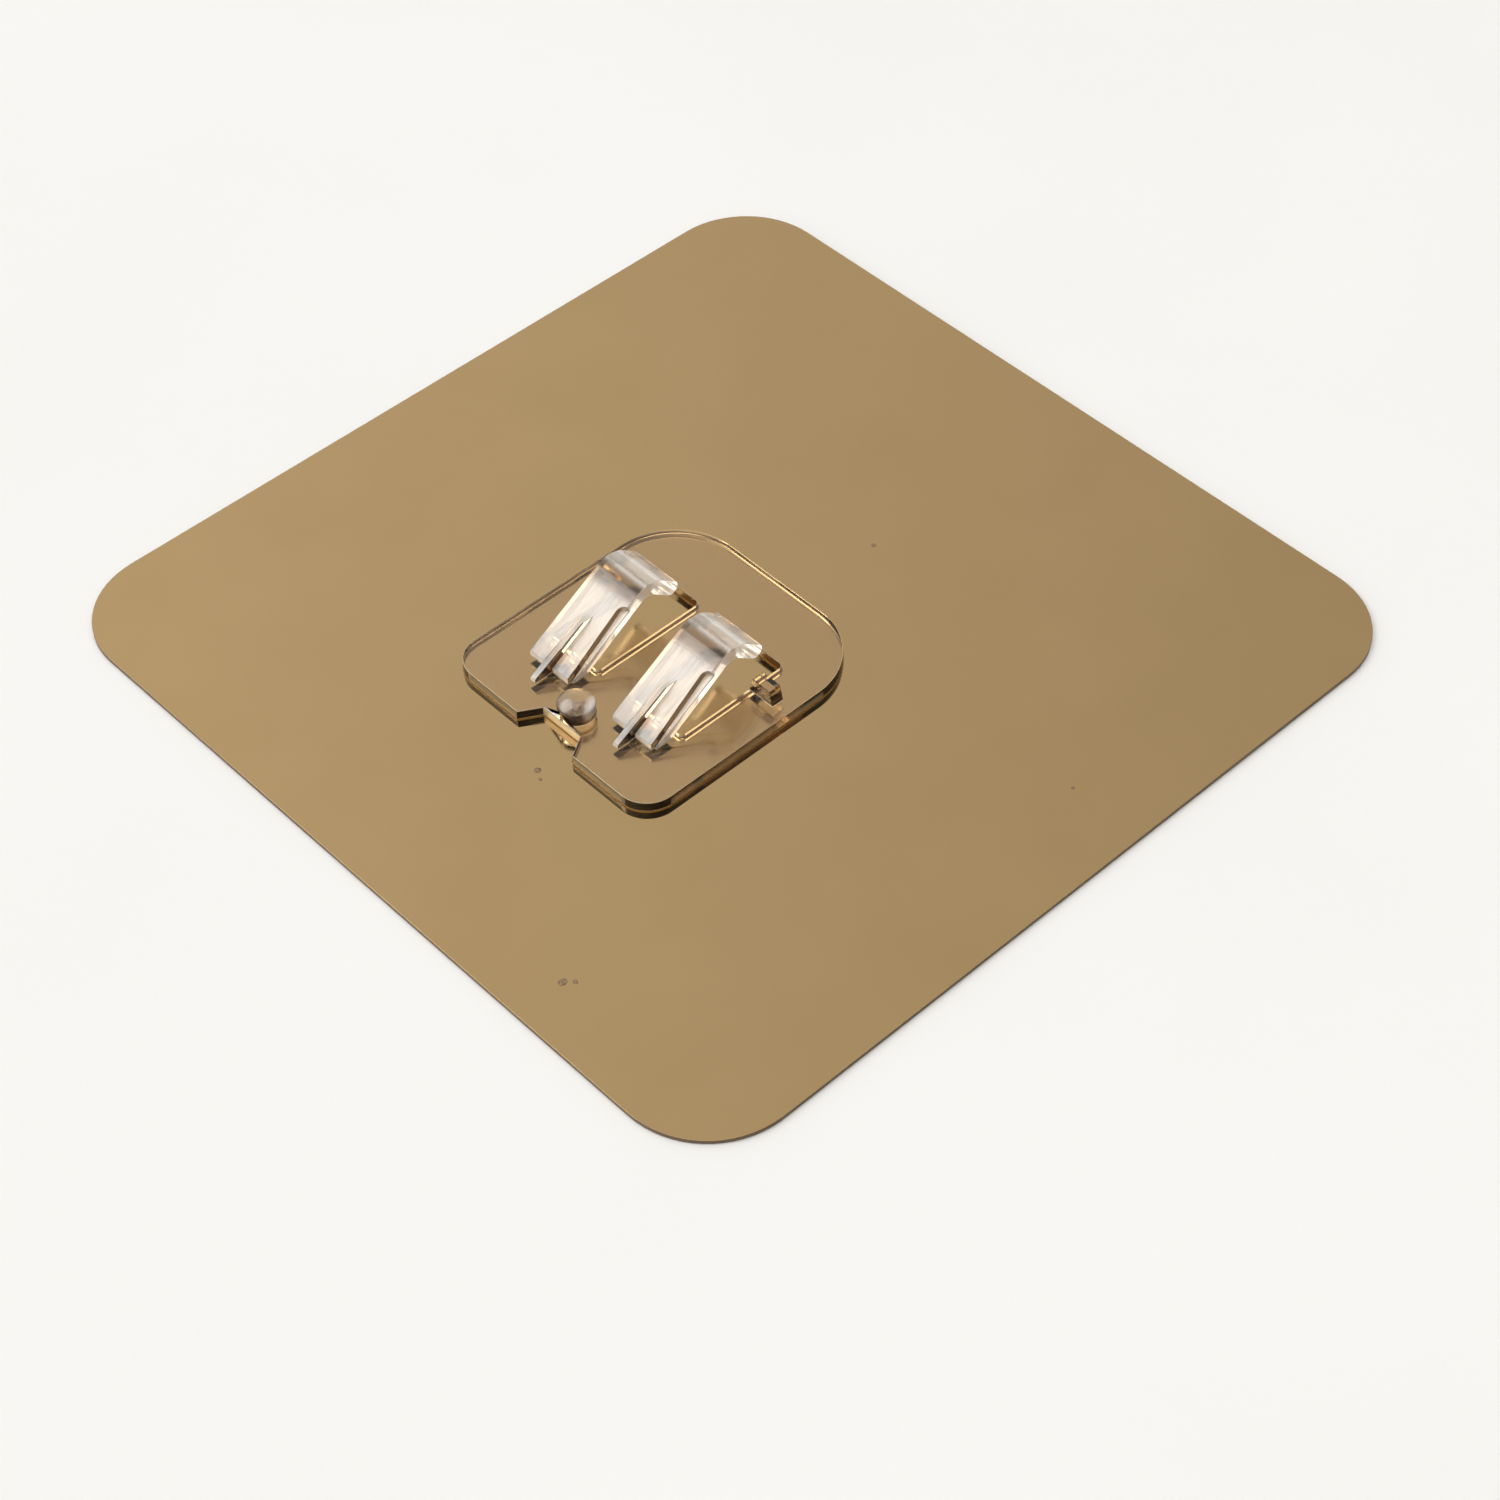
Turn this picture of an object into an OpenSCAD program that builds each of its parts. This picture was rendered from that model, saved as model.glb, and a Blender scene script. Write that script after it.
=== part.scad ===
// Self-adhesive wall hook: a clear moulded plate with two wire hooks,
// bonded to a square mirror film with an adhesive back and a release liner.
// Origin: centre of the liner's underside. +Z points out of the wall, +Y is up on the wall.

/* [Film] */
// Side of the square film
film_w = 100; // [80:1:120]
// Radius of the film's corners
film_corner_r = 10; // [3:0.5:20]
// Thickness of the metallised film
film_t = 0.15; // [0.1:0.05:0.4]
// Thickness of the adhesive behind the film
adhesive_t = 0.2; // [0.1:0.05:0.5]
// Thickness of the release liner
liner_t = 0.15; // [0.1:0.05:0.3]

/* [Plate] */
// Width of the moulded plate
plate_w = 30.2; // [28:0.2:40]
// Height of the moulded plate on the wall
plate_len = 32.2; // [30:0.2:42]
// Wall thickness of the plate
plate_t = 1.1; // [0.8:0.1:2]
// How far the plate's middle lies below the film's middle
plate_drop = 9.3; // [0:0.2:16]
// Radius of the plate's upper corners
plate_upper_r = 8.4; // [2:0.2:10]
// Radius of the plate's lower corners
plate_lower_r = 3.6; // [1:0.2:6]
// Thickness of the bond between plate and film
bond_t = 0.1; // [0.05:0.05:0.3]
// How far the bond stays back from the plate's edges
bond_inset = 0.3; // [0.1:0.1:0.6]

/* [Hooks] */
// Distance between the middles of the two hooks
hook_pitch = 12.6; // [10:0.1:15]
// Width of each hook
hook_w = 6.2; // [5:0.1:8]
// Distance from the plate's lower edge to the front of a hook's foot
foot_setback = 6.3; // [4:0.1:9]
// Length of a hook's foot on the plate
foot_len = 2.5; // [2:0.1:4]
// Height of the upright face at the front of the foot
foot_front_h = 0.6; // [0.4:0.1:1.5]
// Distance from the foot's front to where the outer lines of arm and lip would meet, along the wall
corner_reach = 11.4; // [10:0.1:12.5]
// Height above the plate at which those lines would meet
corner_rise = 7.4; // [6.5:0.1:9]
// Angle at which the lip slopes back down to the plate
lip_angle = 38; // [28:1:42]
// Thickness of the lip
lip_t = 1.75; // [1.2:0.05:2]
// Distance from where the lines would meet to the middle of the lip's tip, along the wall
tip_reach = 2.75; // [2.3:0.05:3.5]
// Radius of the arch over the top of the hook
arch_r = 3.2; // [1.5:0.1:3.4]
// Radius inside the throat
throat_r = 1.6; // [0.8:0.1:1.8]
// How far the throat's corner stands back towards the foot from the outer one
throat_shift = 0.4; // [0:0.1:0.8]
// Width of the rebate in the arm's right-hand edge at the foot
rebate_foot_w = 0.3; // [0.2:0.05:0.8]
// Width of that rebate at its upper end
rebate_top_w = 0.85; // [0.4:0.05:1.2]
// Depth of that rebate
rebate_d = 0.7; // [0.3:0.05:0.8]
// How far the rebate runs up the arm before its round end
rebate_len = 8.6; // [6:0.1:9]

/* [Gusset] */
// Width of the gusset rib on each arm
rib_w = 0.8; // [0.6:0.1:2]
// How far the rib's toe stands in front of the foot
rib_toe = 2.3; // [1:0.1:3.5]
// How far up the arm the rib keeps its height, along the wall
rib_full = 4.2; // [3:0.1:5]
// How far on it takes to run out into the arm
rib_run_out = 1.6; // [0.8:0.1:2]
// Height of the rib over the arm's face
rib_rise = 0.9; // [0.4:0.1:1.2]
// Height of the rib's blunt toe
rib_toe_h = 0.4; // [0.2:0.05:0.6]

/* [Windows and stops] */
// Gap between a hook's side and the window under it
window_side_gap = 0.35; // [0.05:0.05:0.5]
// How far the window stands back from the foot
window_foot_gap = 1; // [0:0.1:1.2]
// How far the window runs on past the lip's tip
window_past_tip = 2.5; // [1:0.1:4]
// Radius of the window's corners
window_r = 0.5; // [0.3:0.1:1]
// Length of a wire stop on the plate
stop_base = 3.5; // [2:0.1:4]
// Length of a wire stop at its top
stop_crest = 2.5; // [1:0.1:3]
// Thickness of a wire stop
stop_t = 1.5; // [0.6:0.1:2]
// Height of a wire stop
stop_h = 1.8; // [0.6:0.1:2]
// How far the stop's middle stands back from the tip's front
stop_setback = 1.5; // [0.6:0.05:2]

/* [Gate] */
// Diameter of the domed gate boss
boss_d = 4; // [2:0.1:4.5]
// Height of the gate boss
boss_h = 2.3; // [1.5:0.1:3]
// Height of the dome on top of the boss
dome_h = 0.9; // [0.4:0.1:1.2]
// Depth of the notch in the plate's lower edge
notch_depth = 2.4; // [1:0.1:3]
// Width of the notch at the plate's edge
notch_mouth_w = 8.4; // [6:0.1:10]
// Width of the notch at its inner end
notch_inner_w = 5.6; // [4:0.1:6]

/* [Hidden] */
$fn = 64;

// Heights, counted from the liner's underside
adhesive_z = liner_t;
film_z = adhesive_z + adhesive_t;
bond_z = film_z + film_t;
plate_z = bond_z + bond_t;
plate_top = plate_z + plate_t;

// Places along the wall
plate_low_y = -plate_drop - plate_len / 2;
foot_y = plate_low_y + foot_setback;
foot_back_y = foot_y + foot_len;
corner_y = foot_y + corner_reach;
tip_y = corner_y + tip_reach;
tip_front_y = tip_y + lip_t / 2;
window_low_y = foot_back_y + window_foot_gap;
window_end_y = tip_front_y + window_past_tip;
stop_y = tip_front_y - stop_setback;
notch_end_y = plate_low_y + notch_depth;
boss_y = notch_end_y + boss_d / 2;

// Places across the wall
window_w = hook_w + 2 * window_side_gap;
stop_x = hook_pitch / 2 + window_w / 2 + stop_base / 2;

function unit(angle) = [cos(angle), sin(angle)];
function heading(a, b) = atan2(b[1] - a[1], b[0] - a[0]);

// Hook profile: [distance along the wall, height above the plate]
foot_front = [foot_y, foot_front_h];
foot_back = [foot_back_y, 0];
outer_corner = [corner_y, corner_rise];
lip_drop = lip_t / cos(lip_angle);
throat_corner = outer_corner - [throat_shift, lip_drop - throat_shift * tan(lip_angle)];
tip = [tip_y, corner_rise - lip_drop / 2 - tip_reach * tan(lip_angle)];
tip_edge = lip_t / 2 * unit(90 - lip_angle);
arm_angle = heading(foot_front, outer_corner);
inner_angle = heading(foot_back, throat_corner);
arm_along = unit(arm_angle);

// Where a round of radius r leaves a corner between a rising line and the lip, and its middle
function round_run(angle, r) = r * tan((angle + lip_angle) / 2);
function round_start(corner, angle, r) = corner - round_run(angle, r) * unit(angle);
function round_end(corner, angle, r) = corner + round_run(angle, r) * unit(-lip_angle);
function round_middle(corner, angle, r) = round_start(corner, angle, r) + r * unit(angle - 90);

arch_start = round_start(outer_corner, arm_angle, arch_r);
arch_end = round_end(outer_corner, arm_angle, arch_r);
throat_start = round_start(throat_corner, inner_angle, throat_r);
throat_end = round_end(throat_corner, inner_angle, throat_r);

// Point on the arm's outer face at a distance along the wall from the foot's front
function on_arm(run) = foot_front + arm_along * run / arm_along[0];

// Rectangle with round corners of two radii, standing on y = low
module rounded_panel(w, low, high, low_r, high_r) {
    corners = [
        [w / 2 - low_r, low + low_r, low_r],
        [w / 2 - high_r, high - high_r, high_r]
    ];
    for (side = [-1, 1], c = corners)
        translate([side * c[0], c[1]]) circle(r = c[2]);
    polygon([
        [-w / 2 + low_r, low], [w / 2 - low_r, low],
        [w / 2, low + low_r], [w / 2, high - high_r],
        [w / 2 - high_r, high], [-w / 2 + high_r, high],
        [-w / 2, high - high_r], [-w / 2, low + low_r]
    ]);
}

// Outline of one layer of the laminate
module film_outline() {
    rounded_panel(film_w, -film_w / 2, film_w / 2, film_corner_r, film_corner_r);
}

// Outline of the plate with its windows and notch, drawn in by an inset on every edge
module plate_outline(inset) {
    difference() {
        rounded_panel(
            plate_w - 2 * inset, plate_low_y + inset, plate_low_y + plate_len - inset,
            plate_lower_r - inset, plate_upper_r - inset);
        for (side = [-1, 1])
            translate([side * hook_pitch / 2, 0])
                rounded_panel(
                    window_w + 2 * inset, window_low_y - inset, window_end_y + inset,
                    window_r + inset, window_r + inset);
        polygon([
            [-notch_inner_w / 2 - inset, notch_end_y + inset],
            [notch_inner_w / 2 + inset, notch_end_y + inset],
            [notch_mouth_w / 2 + inset, plate_low_y - inset],
            [-notch_mouth_w / 2 - inset, plate_low_y - inset]
        ]);
    }
}

// Side view of a hook: foot, arm, arch, lip and tip, with the throat rounded out
module hook_profile() {
    difference() {
        union() {
            polygon([
                [foot_y, -plate_t], foot_front, arch_start, arch_end, tip + tip_edge,
                tip - tip_edge, throat_end, throat_start, foot_back, [foot_back_y, -plate_t]
            ]);
            intersection() {
                translate(round_middle(outer_corner, arm_angle, arch_r)) circle(r = arch_r);
                polygon([arch_start, outer_corner, arch_end]);
            }
            translate(tip) circle(d = lip_t);
        }
        translate(round_middle(throat_corner, inner_angle, throat_r)) circle(r = throat_r);
    }
}

// Strip that the rebate takes off an edge of the arm, with a round upper end
module rebate() {
    translate([0, foot_front[0], foot_front[1]])
        rotate([arm_angle, 0, 0])
            translate([0, 0, -rebate_d])
                linear_extrude(height = 2 * rebate_d) {
                    polygon([
                        [rebate_top_w, -rebate_d], [rebate_top_w, rebate_len],
                        [-rebate_top_w, rebate_len], [-rebate_foot_w, 0], [-rebate_foot_w, -rebate_d]
                    ]);
                    translate([0, rebate_len]) circle(r = rebate_top_w);
                }
}

// Side view of the gusset rib
module rib_profile() {
    polygon([
        [foot_y - rib_toe, -plate_t], [foot_y - rib_toe, rib_toe_h],
        on_arm(rib_full) + [0, rib_rise], on_arm(rib_full + rib_run_out), [foot_back_y, -plate_t]
    ]);
}

// Stands a side view up and gives it a width across the wall
module across(w) {
    rotate([90, 0, 90]) linear_extrude(height = w, center = true) children();
}

module hook() {
    difference() {
        across(hook_w) hook_profile();
        translate([hook_w / 2, 0, 0]) rebate();
    }
    across(rib_w) rib_profile();
}

// Low ridge beside a hook that keeps a wire from sliding back out
module wire_stop() {
    rotate([90, 0, 0])
        linear_extrude(height = stop_t, center = true)
            polygon([
                [-stop_base / 2, -plate_t], [stop_base / 2, -plate_t], [stop_base / 2, 0],
                [stop_crest / 2, stop_h], [-stop_crest / 2, stop_h], [-stop_base / 2, 0]
            ]);
}

module gate_boss() {
    dome_r = (pow(boss_d / 2, 2) + pow(dome_h, 2)) / (2 * dome_h);
    rim = boss_h - dome_h;
    translate([0, 0, -plate_t]) cylinder(d = boss_d, h = plate_t + rim);
    intersection() {
        translate([0, 0, rim]) cylinder(d = boss_d, h = dome_h);
        translate([0, 0, boss_h - dome_r]) sphere(r = dome_r);
    }
}

module hook_plate() {
    color([0.93, 0.92, 0.88, 0.45]) {
        translate([0, 0, plate_z]) linear_extrude(height = plate_t) plate_outline(0);
        translate([0, 0, plate_top]) {
            for (side = [-1, 1]) {
                translate([side * hook_pitch / 2, 0, 0]) hook();
                translate([side * stop_x, stop_y, 0]) wire_stop();
            }
            translate([0, boss_y, 0]) gate_boss();
        }
    }
}

module plate_bond() {
    color([0.95, 0.95, 0.92, 0.4])
        translate([0, 0, bond_z]) linear_extrude(height = bond_t) plate_outline(bond_inset);
}

module metallised_film() {
    color([0.72, 0.58, 0.36])
        translate([0, 0, film_z]) linear_extrude(height = film_t) film_outline();
}

module adhesive_layer() {
    color([0.68, 0.52, 0.33, 0.8])
        translate([0, 0, adhesive_z]) linear_extrude(height = adhesive_t) film_outline();
}

module release_liner() {
    color([0.72, 0.58, 0.4])
        linear_extrude(height = liner_t) film_outline();
}

hook_plate();
plate_bond();
metallised_film();
adhesive_layer();
release_liner();
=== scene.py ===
import math
import bmesh
import bpy
from mathutils import Matrix, Vector


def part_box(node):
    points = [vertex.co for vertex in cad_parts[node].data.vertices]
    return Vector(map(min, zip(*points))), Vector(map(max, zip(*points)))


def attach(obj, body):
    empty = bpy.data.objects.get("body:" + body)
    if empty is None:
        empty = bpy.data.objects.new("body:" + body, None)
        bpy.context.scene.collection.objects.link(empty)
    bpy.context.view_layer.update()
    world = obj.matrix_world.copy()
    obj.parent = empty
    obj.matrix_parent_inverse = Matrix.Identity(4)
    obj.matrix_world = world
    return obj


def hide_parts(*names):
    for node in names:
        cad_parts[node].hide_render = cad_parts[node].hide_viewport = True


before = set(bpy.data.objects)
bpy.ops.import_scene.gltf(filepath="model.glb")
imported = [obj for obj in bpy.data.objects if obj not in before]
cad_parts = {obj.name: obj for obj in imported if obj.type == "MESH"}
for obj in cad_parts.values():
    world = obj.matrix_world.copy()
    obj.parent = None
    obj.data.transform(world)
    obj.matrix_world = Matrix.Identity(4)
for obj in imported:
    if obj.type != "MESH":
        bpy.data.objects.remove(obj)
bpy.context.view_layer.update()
mm = 0.001               # settings are in millimetres, the scene is in metres
upwards = (0.0, 0.0, 1.0)
frontwards = (0.0, -1.0, 0.0)
sideways = (1.0, 0.0, 0.0)
scene = bpy.context.scene
scene.view_settings.view_transform = "Standard"
print("frame loaded:", ", ".join(sorted(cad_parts)))


# A socket in a node tree that can be used in plain sums
class Wire:
    def __init__(self, tree, socket=None):
        self.tree = tree
        self.socket = socket

    def node(self, kind, settings=None, inputs=None, out=0):
        made = self.tree.nodes.new(kind)
        for name, value in (settings or {}).items():
            if name == "stops":
                self.fillRamp(made.color_ramp.elements, value)
            else:
                setattr(made, name, value)
        for key, value in (inputs or {}).items():
            self.feed(made.inputs[key], value)
        return Wire(self.tree, made.outputs[out]) if out is not None else made

    def feed(self, target, value):
        if isinstance(value, list):
            for item in value:
                self.feed(target, item)
        elif isinstance(value, Wire):
            self.tree.links.new(value.socket, target)
        else:
            target.default_value = value

    def fillRamp(self, elements, stops):
        while len(elements) < len(stops):
            elements.new(1.0)
        for element, (place, colour) in zip(elements, stops):
            element.position = place
            element.color = (*colour, 1.0)

    def maths(self, operation, first, second):
        return self.node("ShaderNodeMath", {"operation": operation}, {0: first, 1: second})

    def __add__(self, other):
        return self.maths("ADD", self, other)

    def __radd__(self, other):
        return self.maths("ADD", other, self)

    def __sub__(self, other):
        return self.maths("SUBTRACT", self, other)

    def __rsub__(self, other):
        return self.maths("SUBTRACT", other, self)

    def __mul__(self, other):
        return self.maths("MULTIPLY", self, other)

    def __rmul__(self, other):
        return self.maths("MULTIPLY", other, self)

    def __or__(self, other):  # the greater of two
        return self.maths("MAXIMUM", self, other)

    def __abs__(self):
        return self.maths("ABSOLUTE", self, 0.0)


def startMaterial(name):
    material = bpy.data.materials.new(name)
    material.use_nodes = True
    material.node_tree.nodes.clear()
    return material, Wire(material.node_tree)


def coat(wire, bsdf, inside=None):
    finish = {"Surface": bsdf}
    if inside:
        finish["Volume"] = inside
    wire.node("ShaderNodeOutputMaterial", inputs=finish, out=None)


def objectPlace(wire):
    return wire.node("ShaderNodeTexCoord", out="Object")


def placeAlong(wire, axis):
    return wire.node("ShaderNodeSeparateXYZ", inputs={0: objectPlace(wire)}, out=axis)


# How much of a vector lies along a direction
def dot(wire, vector, direction):
    return wire.node("ShaderNodeVectorMath", {"operation": "DOT_PRODUCT"}, {0: vector, 1: direction}, "Value")


def facing(wire, direction):
    return dot(wire, wire.node("ShaderNodeTexCoord", out="Normal"), direction)


# Noise on object coordinates, with its grain given in millimetres
def grain(wire, size, detail=2.0, roughness=0.5):
    return wire.node("ShaderNodeTexNoise", inputs={
        "Vector": objectPlace(wire), "Scale": 1 / (size * mm),
        "Detail": detail, "Roughness": roughness}, out="Fac")


# Two colours by a noise, which seldom leaves the span between the two stops
def tones(wire, fac, dark, light, darkStop=0.3, lightStop=0.7):
    stops = [(darkStop, dark), (lightStop, light)]
    return wire.node("ShaderNodeValToRGB", {"stops": stops}, {"Fac": fac}, "Color")


# Mixes a colour towards a fixed one
def stain(wire, fac, colour, fixed):
    return wire.node("ShaderNodeMix", {"data_type": "RGBA"}, {0: fac, 6: colour, 7: (*fixed, 1.0)}, 2)


# Smooth step of a value from 0 to most between two limits
def fade(wire, value, start, end, most=1.0):
    return wire.node("ShaderNodeMapRange", {"interpolation_type": "SMOOTHSTEP"}, {
        "Value": value, "From Min": start, "From Max": end, "To Min": 0.0, "To Max": most})


# The same between two places in millimetres
def fadeOver(wire, value, span, most=1.0):
    return fade(wire, value, span[0] * mm, span[1] * mm, most)


# 1 between two places in millimetres and 0 outside them, with soft ends
def within(wire, value, reach, soft):
    low, high = reach
    return fadeOver(wire, value, (low, low + soft)) * fadeOver(wire, value, (high, high - soft))


# Smooth step on how far a face turns to a direction
def turned(wire, direction, span, most=1.0):
    return fade(wire, facing(wire, direction), *span, most)


# The same for faces that turn to it or away from it
def turnedEither(wire, direction, span, most=1.0):
    return fade(wire, abs(facing(wire, direction)), *span, most)


# Turns a height in millimetres into a surface normal
def relief(wire, height, depth):
    return wire.node("ShaderNodeBump", inputs={
        "Height": height, "Distance": depth * mm, "Strength": 1.0}, out="Normal")


def newPiece(name, mesh):
    piece = bpy.data.objects.new(name, mesh)
    scene.collection.objects.link(piece)
    return piece


# Takes a piece made in millimetres to metres, with its modifiers applied
def settle(piece):
    depsgraph = bpy.context.evaluated_depsgraph_get()
    done = bpy.data.meshes.new_from_object(piece.evaluated_get(depsgraph))
    done.name = piece.name
    done.transform(Matrix.Scale(mm, 4))
    piece.modifiers.clear()
    piece.data = done
    return piece


# A geometry tree with named inputs, and wires from those inputs
def startTree(name, kinds):
    tree = bpy.data.node_groups.new(name, "GeometryNodeTree")
    for label, kind in kinds.items():
        tree.interface.new_socket(label, in_out="INPUT", socket_type="NodeSocket" + kind)
    tree.interface.new_socket("Geometry", in_out="OUTPUT", socket_type="NodeSocketGeometry")
    entry = Wire(tree).node("NodeGroupInput", out=None)
    return tree, Wire(tree), {label: Wire(tree, entry.outputs[label]) for label in kinds}


def endTree(wire, geometry, material):
    solid = wire.node("GeometryNodeRealizeInstances", inputs={"Geometry": geometry})
    dressed = wire.node("GeometryNodeSetMaterial", inputs={"Geometry": solid, "Material": material})
    wire.node("NodeGroupOutput", inputs={"Geometry": dressed}, out=None)


# Runs a geometry tree on a mesh in millimetres, with its inputs set by name
def grow(name, tree, values, mesh=None):
    piece = newPiece(name, mesh or bpy.data.meshes.new(name))
    modifier = piece.modifiers.new(tree.name, "NODES")
    modifier.node_group = tree
    for item in tree.interface.items_tree:
        if item.in_out == "INPUT" and item.name in values:
            modifier[item.identifier] = values[item.name]
    return settle(piece)


# Clear moulding: plate, hooks, stops and boss, one piece with the bond under it.
# A pair is what a finish fades between: Span and Reach up the wall, Heights out of it, Edge and
# Side across it, and Turn by how far a face turns to a direction
moulding = {
    "merge": 0.002,          # points closer than this are one
    "flatBelow": 0.3,        # degrees
    "edgeFrom": 30.0,        # degrees, edges sharper than this get rounded
    "edgeRound": 0.24,       # round of the arris on the film
    "upperShare": 0.37,      # share of that round on all other edges
    "roundSteps": 3,
    "sinkIntoFilm": 0.01,    # the bonded underside has no air under it
    "plateFace": 1.7,        # height of the plate's upper face
    "wallRise": 0.1,         # a wall's normal rises less than this
    "draft": 0.1,            # the plate's outer walls lean in by this much
    "draftHalfWidth": 10.5,  # outside this middle stretch, which holds the windows
    "draftLow": -18.0,
    "draftHigh": 2.0,
    "draftNotch": 5.0,       # and outside this half width, which holds the notch
    # clear plastic
    "tint": (0.975, 0.965, 0.94),
    "lightTint": (0.99, 0.98, 0.96),
    "ior": 1.5,
    "depthTint": (0.77, 0.52, 0.19),
    "depthDensity": 50.0,    # per metre
    "gloss": 0.008,
    "smear": 0.02,
    "skinSize": 0.45,
    "rippleSize": 1.8,
    "rippleDepth": 0.0015,
    # frosting
    "milk": (0.93, 0.86, 0.78),
    "paleMilk": (0.97, 0.91, 0.85),
    # painted highlight colour: the milk inside the plate, on its rounded edges and the notch's end wall
    "paintedGoldHighlight": (0.95, 0.78, 0.50),
    "frostGloss": 0.1,
    "frostSmear": 0.1,
    "mottle": (0.35, 0.65),  # of a noise
    "lipSpan": (-9.2, -7.4),
    "lipHeights": (3.6, 4.2),
    "lipMilk": 0.42,
    "cloudSize": 2.4,
    "cloudLeast": 0.75,      # share of the lips' frosting in its thinnest places
    "blurSpan": (-11.6, -10.2),
    "blur": 0.12,            # the bends and lips blur what is seen through them
    "armFacing": (0.0, -0.512, 0.859),
    "armTurn": (0.93, 0.985),
    "armSpan": (-9.9, -11.3),
    # frost on the arm face, whose milky white is also a painted highlight
    "armFrostAndHighlightShare": 0.52,
    "streakWide": 0.35,
    "streakLong": 5.0,
    "streakLeast": 0.8,      # share of the frosting between the streaks
    "footSpan": (-15.0, -19.5),
    "footClear": 0.25,       # an arm grows clearer by this share towards its foot
    "hookMiddle": 6.3,
    "hookEdge": (3.3, 3.2),  # from a hook's middle, as are its sides
    "outerSide": (2.85, 2.95),
    "sideTurn": (0.7, 0.85),
    "sideMilk": 0.62,
    "lipSideClear": 0.4,     # a lip's ends are clearer than an arm's sides by this share
    "endTurn": (0.7, 0.9),
    "endSpan": (-17.0, -17.3),
    "endMilk": 0.7,          # on the front ends of the feet and ribs
    "bossPlace": (0.0, -21.0, 0.0),
    "bossEdge": (2.3, 1.7),  # from its middle
    "bossHeights": (1.8, 2.4),
    "bossMilk": 0.06,
    "bossHighlightSide": (0.85, 0.45, 0.25),
    "bossTurn": (0.55, 0.85),
    "bossHighlightShare": 0.85,    # painted highlight: one side of the boss is made milky white
    "bossGrain": 0.4,
    "bossRelief": 50.0,      # times the ripple's depth
    "plateHeights": (1.8, 1.75),
    "arrisTurn": (0.2, 0.4),
    "arrisFaceTurn": (0.97, 0.9),
    "arrisHighlightShare": 0.35,       # painted highlight: the plate's rounded edges are made milky light lines
    "footArrisHeights": (0.85, 0.75),
    "footArrisHighlightShare": 0.9,    # and a brighter painted highlight on the film
    "frontTurn": (0.5, 0.9),
    "notchEdge": (2.9, 2.8),
    "notchReach": (-23.6, -22.4),
    "notchHighlightShare": 0.55,       # painted highlight: the notch's end wall is made pale
    # painted shade: a dark brown put on walls and sides where they look dark under the light
    "paintedWallShade": (0.27, 0.18, 0.10),
    "uprightTurn": (0.6, 0.35),
    "stopEdge": (10.6, 10.7),
    "stopReach": (-6.6, -4.6),
    "reachSoft": 0.1,        # over which a stop's or the notch's reach ends
    "innerSide": (2.95, 2.85),
    "sideSpan": (-8.0, -8.4),
    "outerShade": 0.2,       # share of the painted shade on an arm's outer sides
    "bendReach": (-11.0, -8.4),
    "bendSoft": 0.8,
    "bendTurn": (0.6, 0.8),
    "bendShade": 0.7,        # share of the painted shade on the thick bend
}


def raised(wire):
    return fadeOver(wire, placeAlong(wire, "Z"), moulding["lipHeights"])


def inPlate(wire):
    return fadeOver(wire, placeAlong(wire, "Z"), moulding["plateHeights"])


def fromHook(wire):
    return abs(abs(placeAlong(wire, "X")) - moulding["hookMiddle"] * mm)


# Share of a frosting that thins out in places
def mottled(wire, noise, least):
    return least + fade(wire, noise, *moulding["mottle"], 1.0 - least)


def bendBlur(wire):
    s = moulding
    return fadeOver(wire, placeAlong(wire, "Y"), s["blurSpan"], s["blur"]) * raised(wire)


def lipVeil(wire):
    s = moulding
    lip = fadeOver(wire, placeAlong(wire, "Y"), s["lipSpan"], s["lipMilk"])
    return lip * raised(wire) * mottled(wire, grain(wire, s["cloudSize"]), s["cloudLeast"])


# The outer face of an arm, frosted in streaks along it; the milky white also stands in for the broad
# highlight on that face, a painted highlight
def armFrostAndHighlight(wire):
    s = moulding
    up = placeAlong(wire, "Y")
    stretch = Vector((s["streakWide"], s["streakLong"], s["streakLong"])) * mm
    along = wire.node("ShaderNodeVectorMath", {"operation": "DIVIDE"}, {
        0: objectPlace(wire), 1: stretch}, "Vector")
    streak = wire.node("ShaderNodeTexNoise", inputs={
        "Vector": along, "Scale": 1.0, "Detail": 3.0}, out="Fac")
    face = turned(wire, s["armFacing"], s["armTurn"]) * fadeOver(wire, up, s["armSpan"], s["armFrostAndHighlightShare"])
    foot = fadeOver(wire, up, s["footSpan"], s["footClear"])
    return face * (1.0 - foot) * mottled(wire, streak, s["streakLeast"])


def bossPart(wire):
    s = moulding
    flat = wire.node("ShaderNodeVectorMath", {"operation": "MULTIPLY"}, {
        0: objectPlace(wire), 1: (1.0, 1.0, 0.0)}, "Vector")
    away = wire.node("ShaderNodeVectorMath", {"operation": "DISTANCE"}, {
        0: flat, 1: Vector(s["bossPlace"]) * mm}, "Value")
    return fadeOver(wire, away, s["bossEdge"]) * fadeOver(wire, placeAlong(wire, "Z"), s["bossHeights"])


# Painted highlight: the plate's rounded edges, which lean between its faces and its walls, made into milky
# light lines
def arrisPaintedHighlight(wire):
    s = moulding
    band = turnedEither(wire, upwards, s["arrisTurn"]) * turnedEither(wire, upwards, s["arrisFaceTurn"])
    foot = fadeOver(wire, placeAlong(wire, "Z"), s["footArrisHeights"], s["footArrisHighlightShare"] - s["arrisHighlightShare"])
    return band * inPlate(wire) * (s["arrisHighlightShare"] + foot)


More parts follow.
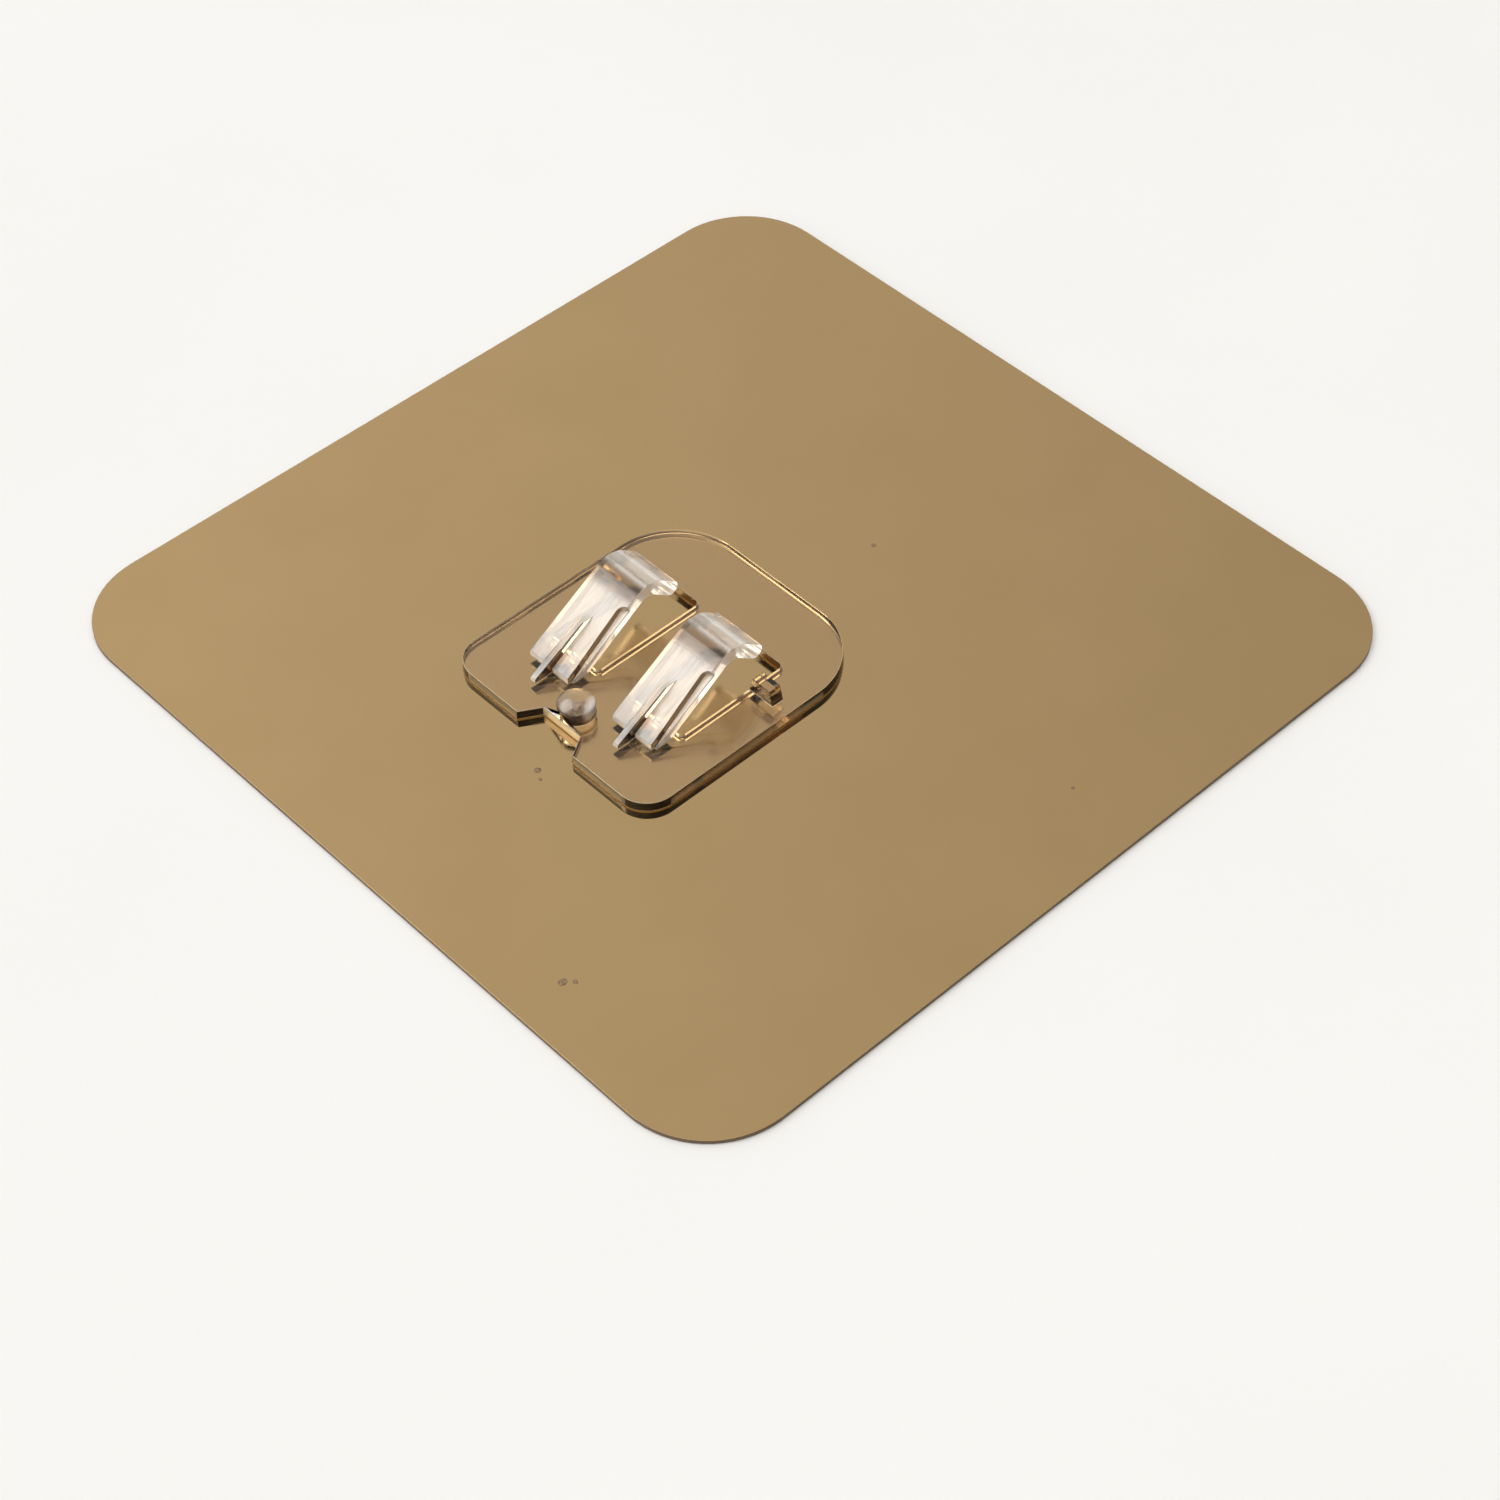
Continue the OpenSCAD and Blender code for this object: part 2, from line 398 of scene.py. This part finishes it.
# Outer sides of the arms, and the front ends of their feet and ribs
def sideVeil(wire):
    s = moulding
    up = placeAlong(wire, "Y")
    onHook = fadeOver(wire, fromHook(wire), s["hookEdge"]) * (1.0 - inPlate(wire))
    side = turnedEither(wire, sideways, s["sideTurn"], s["sideMilk"])
    side = side * fadeOver(wire, fromHook(wire), s["outerSide"])
    side = side * (1.0 - fadeOver(wire, up, s["lipSpan"], s["lipSideClear"]))
    end = turned(wire, frontwards, s["endTurn"], s["endMilk"]) * fadeOver(wire, up, s["endSpan"])
    return onHook * (side | end)


# Painted highlight: the notch's end wall, made pale
def notchPaintedHighlight(wire):
    s = moulding
    across = fadeOver(wire, abs(placeAlong(wire, "X")), s["notchEdge"])
    along = within(wire, placeAlong(wire, "Y"), s["notchReach"], s["reachSoft"])
    return turned(wire, frontwards, s["frontTurn"], s["notchHighlightShare"]) * across * along * inPlate(wire)


# Where the painted shade goes: upright faces of the plate and of the wire stops, sides of the ribs and
# rebates, and the bends
def paintedShadePlace(wire):
    s = moulding
    up = placeAlong(wire, "Y")
    plate = inPlate(wire) * (1.0 - turned(wire, frontwards, s["frontTurn"]))
    stop = fadeOver(wire, abs(placeAlong(wire, "X")), s["stopEdge"])
    stop = stop * within(wire, up, s["stopReach"], s["reachSoft"])
    walls = turnedEither(wire, upwards, s["uprightTurn"]) * (plate | stop)
    shade = s["outerShade"] + fadeOver(wire, fromHook(wire), s["innerSide"], 1.0 - s["outerShade"])
    sides = turnedEither(wire, sideways, s["sideTurn"]) * shade * fadeOver(wire, up, s["sideSpan"])
    bend = within(wire, up, s["bendReach"], s["bendSoft"]) * s["bendShade"]
    bend = bend * turned(wire, upwards, s["bendTurn"]) * (1.0 - inPlate(wire))
    return walls | sides | bend


def clearPlastic():
    s = moulding
    material, wire = startMaterial("clearPlastic")
    flow = grain(wire, s["rippleSize"], detail=3.0)
    skin = grain(wire, s["skinSize"])
    boss = bossPart(wire)
    uneven = s["bossRelief"] * boss * grain(wire, s["bossGrain"])
    normal = relief(wire, flow + uneven, s["rippleDepth"])
    tint = tones(wire, flow, s["tint"], s["lightTint"])
    clear = wire.node("ShaderNodeBsdfPrincipled", inputs={
        # painted shade: walls, sides and bends darkened towards a dark brown
        "Base Color": stain(wire, paintedShadePlace(wire), tint, s["paintedWallShade"]),
        "Roughness": s["gloss"] + s["smear"] * skin + bendBlur(wire),
        "Normal": normal, "Transmission Weight": 1.0, "IOR": s["ior"]})
    milk = tones(wire, flow, s["milk"], s["paleMilk"])
    # inside the plate the milk turns to the gold of the painted highlights
    milky = wire.node("ShaderNodeBsdfPrincipled", inputs={
        "Base Color": stain(wire, inPlate(wire), milk, s["paintedGoldHighlight"]),
        "Roughness": s["frostGloss"] + s["frostSmear"] * skin,
        "Normal": normal, "IOR": s["ior"]})
    # the boss: a faint frost all over, and a painted highlight on one side
    bossFrostAndHighlight = boss * (s["bossMilk"] + turned(wire, s["bossHighlightSide"], s["bossTurn"], s["bossHighlightShare"]))
    # The milky layer: frost on the lips, arms and sides, and painted highlights on the plate's edges, the
    # notch's end wall, the arm faces and one side of the boss
    veil = arrisPaintedHighlight(wire) | bossFrostAndHighlight | lipVeil(wire) | armFrostAndHighlight(wire) | notchPaintedHighlight(wire) | sideVeil(wire)
    veil = veil * (1.0 - wire.node("ShaderNodeNewGeometry", out="Backfacing"))
    depth = wire.node("ShaderNodeVolumeAbsorption", inputs={
        "Color": (*s["depthTint"], 1.0), "Density": s["depthDensity"]})
    coat(wire, wire.node("ShaderNodeMixShader", inputs={0: veil, 1: clear, 2: milky}), depth)
    return material


# Leans the plate's outer walls in towards the top
def leanIn(shape, bottom):
    s = moulding
    moves = {}
    for face in shape.faces:
        heights = [point.co.z for point in face.verts]
        middle = face.calc_center_median()
        inner = abs(middle.x) < s["draftHalfWidth"] and s["draftLow"] < middle.y < s["draftHigh"]
        inner = inner or abs(middle.x) < s["draftNotch"] and middle.y < s["draftHigh"]
        if abs(face.normal.z) < s["wallRise"] and min(heights) < bottom and not inner:
            for point in face.verts:
                if point.co.z > s["plateFace"] - s["merge"]:
                    moves.setdefault(point, []).append(face.normal.copy())
    for point, normals in moves.items():
        point.co -= sum(normals, Vector()).normalized() * s["draft"]


def makeMoulding(material):
    s = moulding
    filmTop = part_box("metallised_film")[1].z / mm
    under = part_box("hook_plate")[0].z / mm
    seat = filmTop - s["sinkIntoFilm"]
    shape = bmesh.new()
    shape.from_mesh(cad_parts["hook_plate"].data)
    shape.transform(Matrix.Scale(1 / mm, 4))
    bmesh.ops.remove_doubles(shape, verts=shape.verts, dist=s["merge"])
    for point in shape.verts:
        if point.co.z < under + s["merge"]:
            point.co.z = seat
    shape.normal_update()
    leanIn(shape, filmTop)
    bmesh.ops.dissolve_limit(shape, angle_limit=math.radians(s["flatBelow"]),
                             verts=shape.verts, edges=shape.edges)
    for face in shape.faces:
        face.smooth = True
    weight = shape.edges.layers.float.new("bevel_weight_edge")
    for edge in shape.edges:
        if edge.calc_face_angle(0.0) > math.radians(s["edgeFrom"]):
            onFilm = max(point.co.z for point in edge.verts) < seat + s["merge"]
            edge[weight] = 1.0 if onFilm else s["upperShare"]
    mesh = bpy.data.meshes.new("clear_moulding")
    shape.to_mesh(mesh)
    shape.free()
    mesh.materials.clear()
    mesh.materials.append(material)
    piece = newPiece("clear_moulding", mesh)
    bevel = piece.modifiers.new("edgeRound", "BEVEL")
    bevel.width = s["edgeRound"]
    bevel.segments = s["roundSteps"]
    bevel.limit_method = "WEIGHT"
    bevel.use_clamp_overlap = False
    bevel.miter_outer = "MITER_ARC"
    normals = piece.modifiers.new("flatFaces", "WEIGHTED_NORMAL")
    normals.keep_sharp = True
    settle(piece)
    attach(piece, "hook")
    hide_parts("hook_plate", "plate_bond")
    print("moulding:", len(piece.data.polygons), "faces")


makeMoulding(clearPlastic())

# Laminate: three layers of one outline, from one geometry tree
laminate = {
    "corner": 10.0,
    "edgeRound": 0.03,
    "around": 400,
    "filletSteps": 40,
    "edgeSteps": 5,
    "weld": 0.0005,
    "cutEdgeDirtAndShade": (0.11, 0.07, 0.04),
    "cutTurn": (0.85, 0.5),
    "cutRoughness": 0.5,     # added on the mirror film's cut edge
}


# How far a point lies on a layer's cut edge, and its colour there: darkened, partly the edge's own dirt and
# partly painted shade
def cutEdge(wire):
    return turnedEither(wire, upwards, laminate["cutTurn"])


# darkens a layer's colour on its cut edge: dirt, and painted shade along the edge
def edged(wire, colour):
    return stain(wire, cutEdge(wire), colour, laminate["cutEdgeDirtAndShade"])


def layerTree():
    s = laminate
    tree, wire, given = startTree("laminateLayer", {
        "Side": "Float", "Corner": "Float", "Low": "Float", "Thickness": "Float",
        "Edge Round": "Float", "Around": "Int", "Material": "Material"})
    inner = given["Side"] - 2.0 * given["Edge Round"]
    square = wire.node("GeometryNodeCurvePrimitiveQuadrilateral", inputs={"Width": inner, "Height": inner})
    rounded = wire.node("GeometryNodeFilletCurve", {"mode": "POLY"}, {
        "Curve": square, "Count": s["filletSteps"], "Radius": given["Corner"] - given["Edge Round"]})
    outline = wire.node("GeometryNodeResampleCurve", inputs={"Curve": rounded, "Count": given["Around"]})
    upright = wire.node("GeometryNodeSetCurveNormal", {"mode": "Z_UP"}, {"Curve": outline})
    half = given["Thickness"] * 0.5
    middle = wire.node("ShaderNodeCombineXYZ", inputs={"Z": given["Low"] + half})
    # the cut edge, swept round the outline
    arc = wire.node("GeometryNodeCurveArc", inputs={
        "Resolution": s["edgeSteps"], "Radius": 1.0,
        "Start Angle": -math.pi / 2, "Sweep Angle": math.pi})
    swell = wire.node("ShaderNodeCombineXYZ", inputs={"X": given["Edge Round"], "Y": half, "Z": 1.0})
    profile = wire.node("GeometryNodeTransform", inputs={"Geometry": arc, "Scale": swell})
    rim = wire.node("GeometryNodeCurveToMesh", inputs={"Curve": upright, "Profile Curve": profile})
    # the two faces
    sheet = wire.node("GeometryNodeFillCurve", {"mode": "NGONS"}, {"Curve": outline})
    rise = wire.node("ShaderNodeCombineXYZ", inputs={"Z": half})
    sink = wire.node("ShaderNodeCombineXYZ", inputs={"Z": half * -1.0})
    front = wire.node("GeometryNodeTransform", inputs={"Geometry": sheet, "Translation": rise})
    turnedOver = wire.node("GeometryNodeFlipFaces", inputs={"Mesh": sheet})
    back = wire.node("GeometryNodeTransform", inputs={"Geometry": turnedOver, "Translation": sink})
    joined = wire.node("GeometryNodeJoinGeometry", inputs={"Geometry": [front, back, rim]})
    closed = wire.node("GeometryNodeMergeByDistance", inputs={"Geometry": joined, "Distance": s["weld"]})
    placed = wire.node("GeometryNodeTransform", inputs={"Geometry": closed, "Translation": middle})
    endTree(wire, placed, given["Material"])
    return tree


def makeLayer(tree, node, body, material):
    low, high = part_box(node)
    piece = grow(node + "_sheet", tree, {
        "Side": (high.x - low.x) / mm, "Corner": laminate["corner"],
        "Low": low.z / mm, "Thickness": (high.z - low.z) / mm,
        "Edge Round": laminate["edgeRound"], "Around": laminate["around"], "Material": material})
    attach(piece, body)
    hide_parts(node)


# Mirror film
film = {
    "gold": (0.56, 0.385, 0.185),
    "paleGold": (0.58, 0.40, 0.195),
    "gloss": 0.02,
    "smear": 0.03,
    "smearSize": 4.2,
    "waveSize": 14.0,
    "waveDepth": 0.003,
    "bondBlur": 0.10,        # the bond under the plate blurs the mirror
    "bondFade": 0.6,
}


def underPlate(wire):
    low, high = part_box("plate_bond")
    middle, half = (low + high) / 2, (high - low) / 2
    soft = film["bondFade"] * mm
    across = fade(wire, abs(placeAlong(wire, "X") - middle.x), half.x, half.x - soft)
    along = fade(wire, abs(placeAlong(wire, "Y") - middle.y), half.y, half.y - soft)
    return across * along


def mirrorGold():
    s = film
    material, wire = startMaterial("mirrorGold")
    wave = grain(wire, s["waveSize"])
    haze = s["smear"] * grain(wire, s["smearSize"], detail=3.0) + s["bondBlur"] * underPlate(wire)
    coat(wire, wire.node("ShaderNodeBsdfPrincipled", inputs={
        "Base Color": edged(wire, tones(wire, wave, s["gold"], s["paleGold"])),
        "Roughness": s["gloss"] + haze + laminate["cutRoughness"] * cutEdge(wire),
        "Normal": relief(wire, wave, s["waveDepth"]),
        "Metallic": 1.0 - cutEdge(wire)}))
    return material


# Adhesive behind the film
adhesive = {
    "amber": (0.42, 0.27, 0.12),
    "paleAmber": (0.50, 0.34, 0.17),
    "streakSize": 1.2,
    "streakDepth": 0.03,
    "gloss": 0.25,
    "smear": 0.2,
}


def tackyAmber():
    s = adhesive
    material, wire = startMaterial("tackyAmber")
    streaks = grain(wire, s["streakSize"], detail=4.0)
    coat(wire, wire.node("ShaderNodeBsdfPrincipled", inputs={
        "Base Color": edged(wire, tones(wire, streaks, s["amber"], s["paleAmber"])),
        "Roughness": s["gloss"] + s["smear"] * streaks,
        "Normal": relief(wire, streaks, s["streakDepth"])}))
    return material


# Release liner, a honey-coloured glassine paper
liner = {
    "honey": (0.50, 0.36, 0.19),
    "paleHoney": (0.60, 0.45, 0.26),
    "fibreSize": 0.7,
    "fibreDepth": 0.01,
    "gloss": 0.3,
    "smear": 0.25,
}


def glassine():
    s = liner
    material, wire = startMaterial("glassine")
    fibres = grain(wire, s["fibreSize"], detail=6.0, roughness=0.65)
    coat(wire, wire.node("ShaderNodeBsdfPrincipled", inputs={
        "Base Color": edged(wire, tones(wire, fibres, s["honey"], s["paleHoney"])),
        "Roughness": s["gloss"] + s["smear"] * fibres,
        "Normal": relief(wire, fibres, s["fibreDepth"])}))
    return material


# Specks of dust on the film: places on it, and the width of each
specks = {
    "dust": (0.13, 0.075, 0.035),
    "paleDust": (0.32, 0.21, 0.11),
    "grainSize": 0.25,
    "gloss": 0.6,
    "smear": 0.2,
    "spots": [(2.8, 18.4, 0.55), (41.0, 8.2, 0.5), (24.4, -44.3, 0.8), (25.2, -43.4, 0.6),
              (2.4, -28.4, 0.7), (3.5, -29.0, 0.5)],
    "flatness": 0.22,
    "unevenness": 0.35,
    "turns": 16,
    "seed": 4,
}


def speckTree():
    s = specks
    tree, wire, given = startTree("dustSpecks", {
        "Geometry": "Geometry", "Flatness": "Float", "Unevenness": "Float", "Seed": "Int",
        "Material": "Material"})
    ball = wire.node("GeometryNodeMeshUVSphere", inputs={
        "Segments": s["turns"] * 2, "Rings": s["turns"], "Radius": 0.5})
    width = wire.node("GeometryNodeInputNamedAttribute", {"data_type": "FLOAT"}, {
        "Name": "width"}, "Attribute")
    uneven = wire.node("FunctionNodeRandomValue", inputs={
        "Min": 1.0 - given["Unevenness"], "Max": 1.0 + given["Unevenness"], "Seed": given["Seed"]}, out=1)
    scale = wire.node("ShaderNodeCombineXYZ", inputs={
        "X": width, "Y": width * uneven, "Z": width * given["Flatness"]})
    bumps = wire.node("GeometryNodeInstanceOnPoints", inputs={
        "Points": given["Geometry"], "Instance": ball, "Scale": scale})
    smooth = wire.node("GeometryNodeSetShadeSmooth", inputs={"Geometry": bumps, "Shade Smooth": True})
    endTree(wire, smooth, given["Material"])
    return tree


def mattDust():
    s = specks
    material, wire = startMaterial("mattDust")
    grains = grain(wire, s["grainSize"])
    coat(wire, wire.node("ShaderNodeBsdfPrincipled", inputs={
        "Base Color": tones(wire, grains, s["dust"], s["paleDust"]),
        "Roughness": s["gloss"] + s["smear"] * grains}))
    return material


def makeSpecks(material):
    s = specks
    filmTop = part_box("metallised_film")[1].z / mm
    mesh = bpy.data.meshes.new("film_specks")
    mesh.from_pydata([(x, y, filmTop) for x, y, width in s["spots"]], [], [])
    widths = mesh.attributes.new("width", "FLOAT", "POINT")
    for item, (x, y, width) in zip(widths.data, s["spots"]):
        item.value = width
    piece = grow("film_specks", speckTree(), {
        "Flatness": s["flatness"], "Unevenness": s["unevenness"], "Seed": s["seed"],
        "Material": material}, mesh)
    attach(piece, "hook")


sheetTree = layerTree()
makeLayer(sheetTree, "metallised_film", "hook", mirrorGold())
makeLayer(sheetTree, "adhesive_layer", "hook", tackyAmber())
makeLayer(sheetTree, "release_liner", "liner", glassine())
makeSpecks(mattDust())
print("laminate: 3 layers,", len(specks["spots"]), "specks")

# Floor
ground = {
    "half": 3000.0,
    "drop": 0.02,
    "pale": (0.84, 0.835, 0.825),
    "paler": (0.86, 0.855, 0.845),
    "mottle": 60.0,
    "gloss": 0.55,
    "smear": 0.1,
}


def makeFloor():
    s = ground
    material, wire = startMaterial("paleFloor")
    mottle = grain(wire, s["mottle"], detail=3.0)
    coat(wire, wire.node("ShaderNodeBsdfPrincipled", inputs={
        "Base Color": tones(wire, mottle, s["pale"], s["paler"]),
        "Roughness": s["gloss"] + s["smear"] * mottle}))
    half = s["half"] * mm
    corners = [(-half, -half), (half, -half), (half, half), (-half, half)]
    mesh = bpy.data.meshes.new("floor")
    mesh.from_pydata([(x, y, -s["drop"] * mm) for x, y in corners], [], [(0, 1, 2, 3)])
    mesh.materials.append(material)
    newPiece("floor", mesh)


makeFloor()

# Studio: a sky that is brighter on one side, with three soft patches, and a softbox
studio = {
    "keyTowards": (-0.497, -0.445, 0.745),
    "keyAim": (0.0, -14.0, 4.0),
    "keyDistance": 700.0,
    "keySide": 180.0,
    "keyRadiance": 1.2,
    "patches": [             # direction, cosines of the angles between which it brightens, and gain
        ((-0.5, -0.53, 0.685), (0.972, 0.985), 3.0),
        ((0.523, 0.453, 0.722), (0.990, 0.997), 2.6),
        (upwards, (0.88, 0.98), 2.4),
    ],
    "skySide": (-0.77, -0.64, 0.0),
    "skyMiddle": 0.645,
    "skyGain": 0.57,
    "skyLeast": 0.3,
    "skyColour": (1.0, 0.985, 0.96),
}


def makeSky():
    s = studio
    world = bpy.data.worlds.new("softSky")
    scene.world = world
    world.use_nodes = True
    world.node_tree.nodes.clear()
    wire = Wire(world.node_tree)
    ray = wire.node("ShaderNodeTexCoord", out="Generated")
    level = (s["skyMiddle"] + s["skyGain"] * dot(wire, ray, s["skySide"])) | s["skyLeast"]
    for towards, span, gain in s["patches"]:
        level = level + fade(wire, dot(wire, ray, Vector(towards).normalized()), *span, gain)
    sky = wire.node("ShaderNodeBackground", inputs={"Color": (*s["skyColour"], 1.0), "Strength": level})
    wire.node("ShaderNodeOutputWorld", inputs={"Surface": sky}, out=None)


def makeSoftbox():
    s = studio
    towards = Vector(s["keyTowards"]).normalized()
    lamp = bpy.data.lights.new("softbox", "AREA")
    across = s["keySide"] * mm
    lamp.shape = "DISK"
    lamp.size = across
    lamp.energy = s["keyRadiance"] * math.pi * (math.pi * across * across / 4)  # the disk's area in brackets
    box = newPiece("softbox", lamp)
    box.location = Vector(s["keyAim"]) * mm + towards * s["keyDistance"] * mm
    box.rotation_euler = towards.to_track_quat("Z", "Y").to_euler()


makeSky()
makeSoftbox()

# Camera, as the photograph was taken
shot = {
    "azimuth": 47.43,
    "elevation": 47.50,
    "roll": -1.08,
    "aim": (15.12, -11.28, 0.5),
    "distance": 326.9,
    "lens": 78.38,
    "sensor": 36.0,
    "clipStart": 10.0,
}


def makeCamera():
    s = shot
    turn, lift = math.radians(s["azimuth"]), math.radians(s["elevation"])
    back = Vector((math.sin(turn) * math.cos(lift), -math.cos(turn) * math.cos(lift), math.sin(lift)))
    level = Vector(upwards).cross(back).normalized()
    spin = Matrix.Rotation(math.radians(s["roll"]), 3, back)
    right = spin @ level
    up = back.cross(right)
    data = bpy.data.cameras.new("photoView")
    data.sensor_width = s["sensor"]
    data.lens = s["lens"]
    data.clip_start = s["clipStart"] * mm
    camera = newPiece("photoView", data)
    place = Matrix((right, up, back)).transposed().to_4x4()
    place.translation = (Vector(s["aim"]) + back * s["distance"]) * mm
    camera.matrix_world = place
    scene.camera = camera


makeCamera()
print("floor, studio and camera set")
